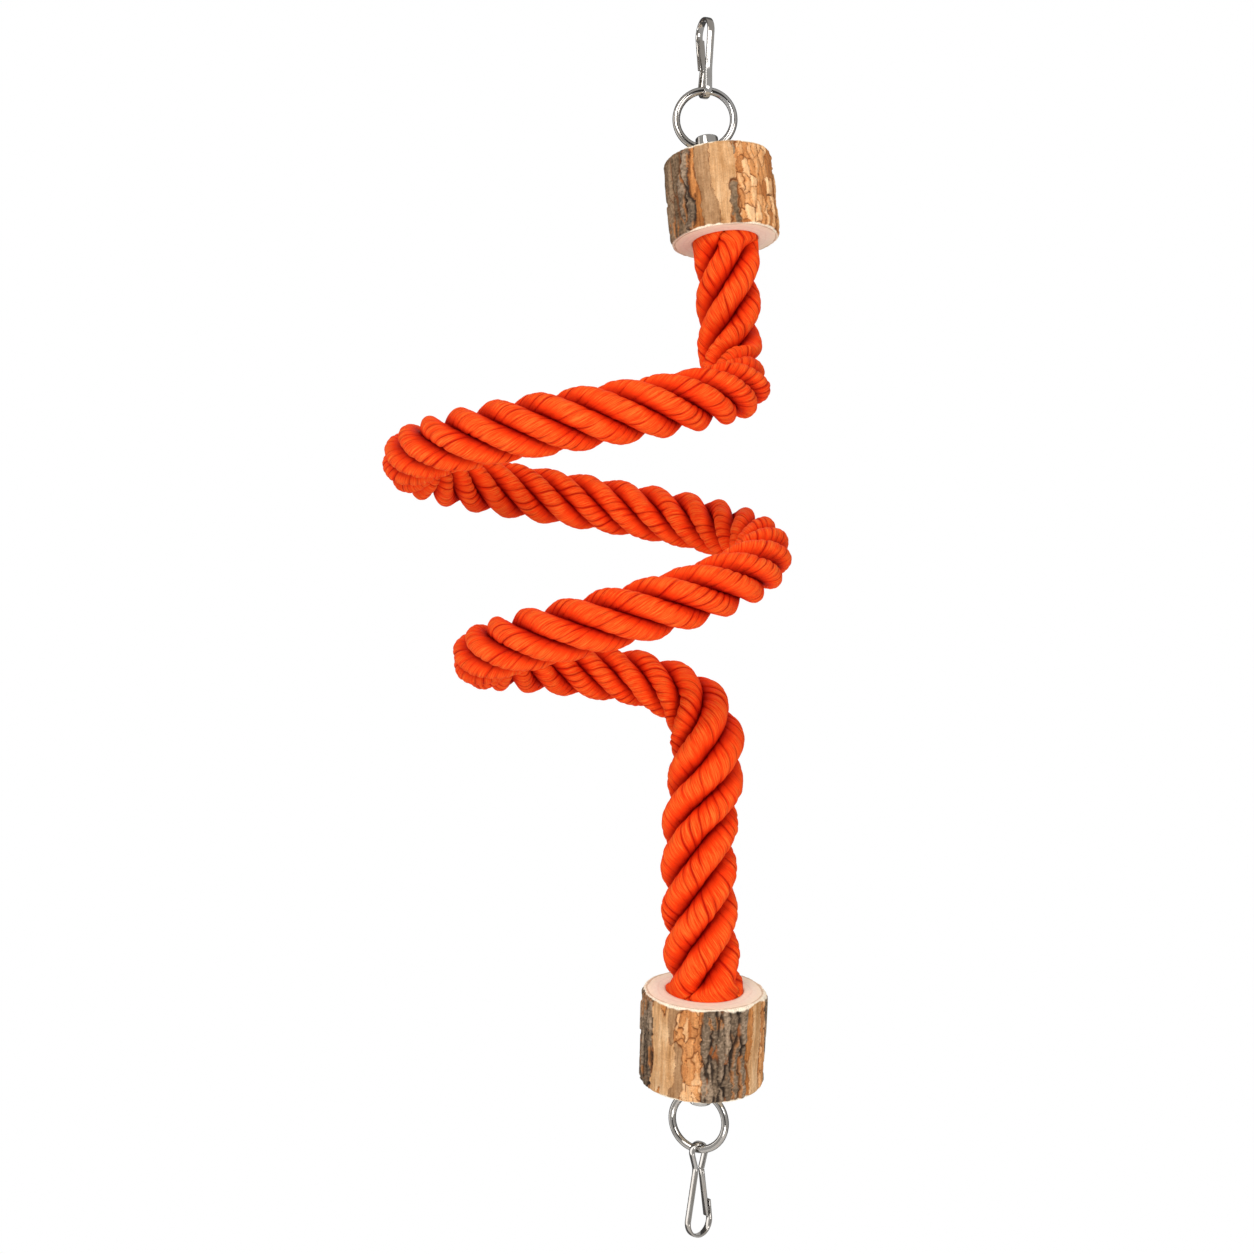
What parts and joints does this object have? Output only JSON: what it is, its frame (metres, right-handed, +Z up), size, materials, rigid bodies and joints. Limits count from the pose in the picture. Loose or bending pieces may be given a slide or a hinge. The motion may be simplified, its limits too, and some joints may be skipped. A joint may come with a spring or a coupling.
{
  "type": "hanging rope bird perch",
  "caption": "Hanging bird perch: a coil of thick laid rope between two bark-covered log slices, each with a steel stud, a ring and a snap hook",
  "frame": {"origin": "the seat inside the top snap hook's bow, where the toy hangs", "axes": "+Z up along the hanging toy, +X to the right and -Y to the front as the picture shows it; the coil lies to -X"},
  "size_m": [0.3685, 0.2994, 1.1284],
  "materials": {
    "polished_steel": "polished",
    "zinc_steel": "satin",
    "log_wood": "matte",
    "orange_rope": "matte"
  },
  "bodies": {
    "top_hook": {"top_hook_body": "polished_steel"},
    "top_gate": {"top_hook_gate": "polished_steel"},
    "top_ring_body": {"top_ring": "polished_steel"},
    "upper_end": {"top_stud": "polished_steel", "top_washer": "zinc_steel", "top_nut": "zinc_steel", "upper_block": "log_wood", "rope_upper_stretch": "orange_rope", "rope_coil": "orange_rope", "core_wire": "zinc_steel"},
    "lower_end": {"rope_lower_stretch": "orange_rope", "lower_block": "log_wood", "bottom_stud": "polished_steel", "bottom_washer": "zinc_steel", "bottom_nut": "zinc_steel"},
    "bottom_ring_body": {"bottom_ring": "polished_steel"},
    "bottom_hook": {"bottom_hook_body": "polished_steel"},
    "bottom_gate": {"bottom_hook_gate": "polished_steel"}
  },
  "joints": [
    {"name": "top_gate_open", "type": "hinge", "parent": "top_hook", "child": "top_gate", "pos_m": [-0.00165, 0.00419, -0.04543], "axis": [0.9304, 0.3665, 0], "range_deg": [0, 16], "stiffness_Nm_per_rad": 0.5, "springref_deg": -5.73},
    {"name": "top_ring_swing", "type": "hinge", "parent": "top_hook", "child": "top_ring_body", "pos_m": [0, 0, -0.06423], "axis": [1, 0, 0], "range_deg": [-60, 60], "stiffness_Nm_per_rad": 1.5, "springref_deg": -15.99},
    {"name": "upper_block_swing", "type": "hinge", "parent": "top_ring_body", "child": "upper_end", "pos_m": [0, 0, -0.09073], "axis": [0, 1, 0], "range_deg": [-40, 40], "stiffness_Nm_per_rad": 3, "springref_deg": 22.4},
    {"name": "coil_bounce", "type": "slide", "parent": "upper_end", "child": "lower_end", "axis": [0, 0, -1], "range_m": [-0.04, 0.08], "stiffness_N_per_m": 300, "springref_m": -0.02434, "deforming": ["rope_coil", "core_wire"]},
    {"name": "bottom_ring_swing", "type": "hinge", "parent": "lower_end", "child": "bottom_ring_body", "pos_m": [-0.00344, 0.01302, -0.9912], "axis": [0.9069, -0.4133, -0.0813], "range_deg": [-70, 70]},
    {"name": "bottom_hook_swing", "type": "hinge", "parent": "bottom_ring_body", "child": "bottom_hook", "pos_m": [-0.0054, 0.01391, -1.01762], "axis": [0.4147, 0.91, 0], "range_deg": [-60, 60]},
    {"name": "bottom_gate_open", "type": "hinge", "parent": "bottom_hook", "child": "bottom_gate", "pos_m": [-0.00264, 0.01623, -1.06292], "axis": [-0.6428, 0.766, 0], "range_deg": [0, 12], "stiffness_Nm_per_rad": 0.5, "springref_deg": -5.73}
  ]
}
